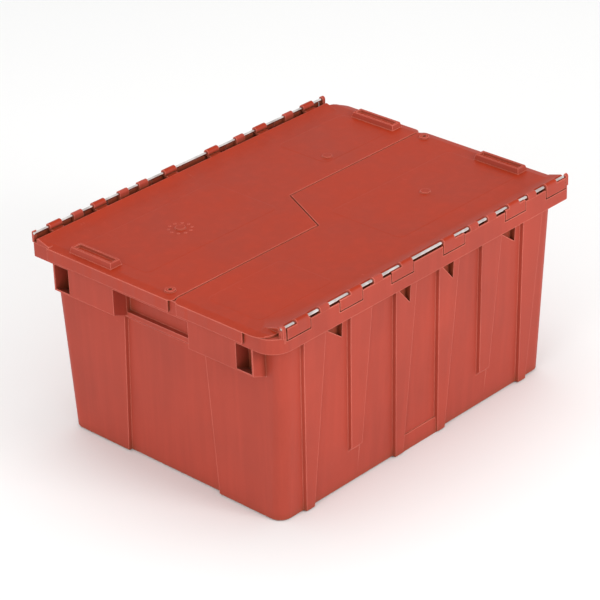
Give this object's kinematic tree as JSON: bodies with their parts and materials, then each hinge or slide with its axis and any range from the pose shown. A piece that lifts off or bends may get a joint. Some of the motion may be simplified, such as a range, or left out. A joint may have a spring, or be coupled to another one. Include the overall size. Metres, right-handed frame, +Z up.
{
  "type": "attached lid tote",
  "caption": "Nesting distribution tote with ribbed tapered walls and two lid leaves that swing on long steel rods and meet in a stepped seam.",
  "frame": {"origin": "middle of the underside of the tub's floor", "axes": "+X along the tote's length, parallel to both hinge rods; +Y across the width, from the front lid's hinge side to the back lid's; +Z up"},
  "size_m": [0.711, 0.5312, 0.3601],
  "materials": {
    "body_red": "satin moulded polyethylene",
    "lid_red": "fine grained moulded polyethylene",
    "rod_steel": "drawn wire"
  },
  "bodies": {
    "tub": {"tote_body": "body_red", "hinge_rod_front": "rod_steel", "hinge_rod_back": "rod_steel"},
    "front_leaf": {"lid_front": "lid_red"},
    "back_leaf": {"lid_back": "lid_red"}
  },
  "joints": [
    {"name": "front_lid_hinge", "type": "hinge", "parent": "tub", "child": "front_leaf", "pos_m": [0, -0.26, 0.3545], "axis": [1, 0, 0], "range_deg": [0, 255]},
    {"name": "back_lid_hinge", "type": "hinge", "parent": "tub", "child": "back_leaf", "pos_m": [0, 0.26, 0.3545], "axis": [-1, 0, 0], "range_deg": [0, 255]}
  ]
}
